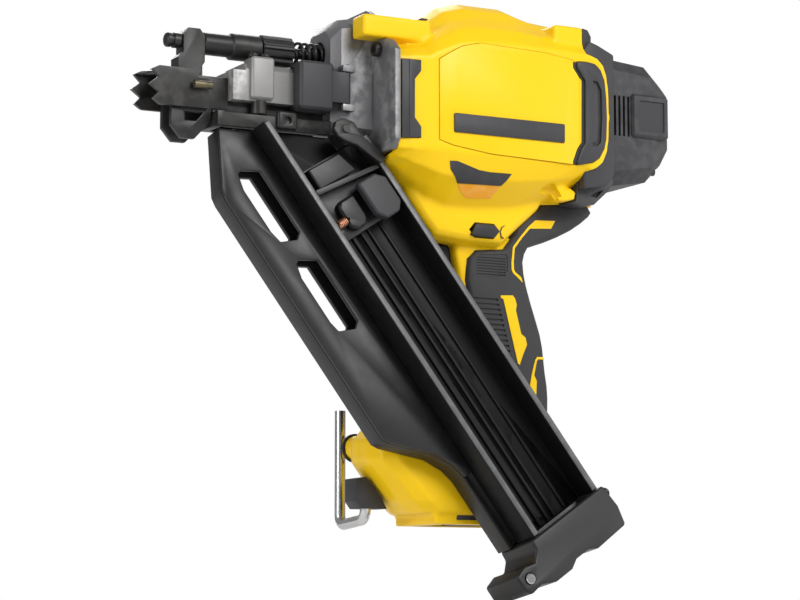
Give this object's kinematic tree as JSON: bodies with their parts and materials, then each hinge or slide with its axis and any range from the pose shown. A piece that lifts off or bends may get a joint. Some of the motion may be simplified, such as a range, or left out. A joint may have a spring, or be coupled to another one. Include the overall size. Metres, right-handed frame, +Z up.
{
  "type": "cordless strip framing nailer",
  "caption": "Cordless strip nailer: canted side magazine, spring contact tip with depth knob, trigger grip, battery foot and swivel hook.",
  "frame": {"origin": "centre of the bounding box's underside", "axes": "+X runs rearwards along the driver axis, away from the contact tip; +Y to the tool's right; +Z up, from the battery foot to the barrel"},
  "size_m": [0.33, 0.121, 0.3477],
  "materials": {
    "yellow_shell": "satin moulded",
    "dark_rubber": "soft matt overmould",
    "black_plastic": "satin black",
    "grey_plastic": "matt dark grey",
    "black_steel": "blackened steel",
    "cast_metal": "as cast, grey",
    "bright_metal": "machined",
    "spring_steel": "dark oiled",
    "hook_steel": "bright plated",
    "copper": "copper coloured",
    "brass": "plain",
    "orange_label": "printed label, plain",
    "board_green": "lacquered board",
    "winding": "enamelled copper winding"
  },
  "bodies": {
    "tool": {"left_housing": "yellow_shell", "right_housing": "yellow_shell", "side_cover_left": "yellow_shell", "side_cover_right": "yellow_shell", "front_bumper_left": "grey_plastic", "front_bumper_right": "grey_plastic", "rear_bumper_left": "grey_plastic", "rear_bumper_right": "grey_plastic", "nameplate_left": "black_plastic", "angle_badge_left": "orange_label", "top_bumper": "dark_rubber", "grip_left": "dark_rubber", "grip_right": "dark_rubber", "trigger_switch": "black_plastic", "battery_rail": "black_plastic", "terminal_block": "brass", "control_board": "board_green", "hook_bracket": "grey_plastic", "rear_collar": "black_plastic", "rear_cap": "grey_plastic", "cap_screw_1": "black_steel", "cap_screw_2": "black_steel", "nose_casting": "cast_metal", "flange_screw_left": "black_steel", "flange_screw_right": "black_steel", "nose_block": "bright_metal", "nose_screw_1": "black_steel", "nose_screw_2": "black_steel", "nose_guide": "black_steel", "jam_latch_pin": "black_steel", "trip_spring": "spring_steel", "magazine_body": "black_plastic", "magazine_side_plate": "black_plastic", "magazine_rail": "black_plastic", "magazine_end_cap": "black_plastic", "end_cap_screw": "hook_steel", "lockout_pin": "black_steel", "return_rail_left": "bright_metal", "return_rail_right": "bright_metal", "return_spring_left": "spring_steel", "return_spring_right": "spring_steel", "stop_bumper_left": "dark_rubber", "stop_bumper_right": "dark_rubber", "motor_stator": "winding", "solenoid_coil": "winding"},
    "trip": {"contact_trip": "black_steel", "trip_bushing": "brass", "trip_rod": "black_steel"},
    "depth_knob": {"depth_knob": "black_plastic"},
    "trigger": {"trigger": "black_plastic"},
    "lock_off": {"lock_off_button": "black_plastic"},
    "pusher": {"pusher": "black_plastic", "pusher_spring": "copper"},
    "pusher_latch": {"pusher_latch": "black_plastic"},
    "jam_latch": {"jam_latch": "grey_plastic"},
    "lockout_lever": {"lockout_lever": "black_steel"},
    "hook": {"belt_hook": "hook_steel"},
    "driver": {"driver_blade": "bright_metal"},
    "flywheel": {"flywheel": "spring_steel"},
    "pinch_roller": {"pinch_roller": "bright_metal"}
  },
  "joints": [
    {"name": "trip_slide", "type": "slide", "parent": "tool", "child": "trip", "axis": [1, 0, 0], "range_m": [0, 0.012], "stiffness_N_per_m": 400, "springref_m": -0.02, "deforming": ["trip_spring"]},
    {"name": "depth_knob_turn", "type": "hinge", "parent": "trip", "child": "depth_knob", "pos_m": [-0.079, 0.0125, 0.3107], "axis": [1, 0, 0], "range_deg": [-180, 180]},
    {"name": "trigger_pull", "type": "hinge", "parent": "tool", "child": "trigger", "pos_m": [0.031, 0.0125, 0.2117], "axis": [0, -1, 0], "range_deg": [0, 12], "stiffness_Nm_per_rad": 0.5, "springref_deg": -14.32},
    {"name": "lock_off_slide", "type": "slide", "parent": "tool", "child": "lock_off", "axis": [0, 1, 0], "range_m": [0, 0.003]},
    {"name": "pusher_slide", "type": "slide", "parent": "tool", "child": "pusher", "axis": [0.5446, -0.1384, -0.8272], "range_m": [0, 0.19], "stiffness_N_per_m": 25, "springref_m": -0.3},
    {"name": "pusher_latch_press", "type": "hinge", "parent": "pusher", "child": "pusher_latch", "pos_m": [-0.03373, -0.01631, 0.23573], "axis": [0.8387, 0.0899, 0.5372], "range_deg": [0, 8], "stiffness_Nm_per_rad": 0.1, "springref_deg": -17.19},
    {"name": "jam_latch_open", "type": "hinge", "parent": "tool", "child": "jam_latch", "pos_m": [-0.044, -0.0097, 0.2887], "axis": [0, 0, 1], "range_deg": [0, 70]},
    {"name": "lockout_lever_turn", "type": "hinge", "parent": "tool", "child": "lockout_lever", "pos_m": [-0.04894, -0.01529, 0.26303], "axis": [0, 0.9863, -0.165], "range_deg": [0, 12], "stiffness_Nm_per_rad": 0.05, "springref_deg": -17.19},
    {"name": "hook_swivel", "type": "hinge", "parent": "tool", "child": "hook", "pos_m": [-0.017, 0.0195, 0.0537], "axis": [0, 0, 1], "range_deg": [0, 90]},
    {"name": "driver_stroke", "type": "slide", "parent": "tool", "child": "driver", "axis": [-1, 0, 0], "range_m": [0, 0.11], "stiffness_N_per_m": 60, "springref_m": -0.06, "deforming": ["return_spring_left", "return_spring_right"]},
    {"name": "flywheel_spin", "type": "hinge", "parent": "tool", "child": "flywheel", "pos_m": [0.039, 0.0125, 0.2567], "axis": [0, 1, 0], "continuous": true},
    {"name": "pinch_roller_press", "type": "slide", "parent": "tool", "child": "pinch_roller", "axis": [0, 0, -1], "range_m": [0, 0.0015], "stiffness_N_per_m": 900, "springref_m": -0.002}
  ]
}
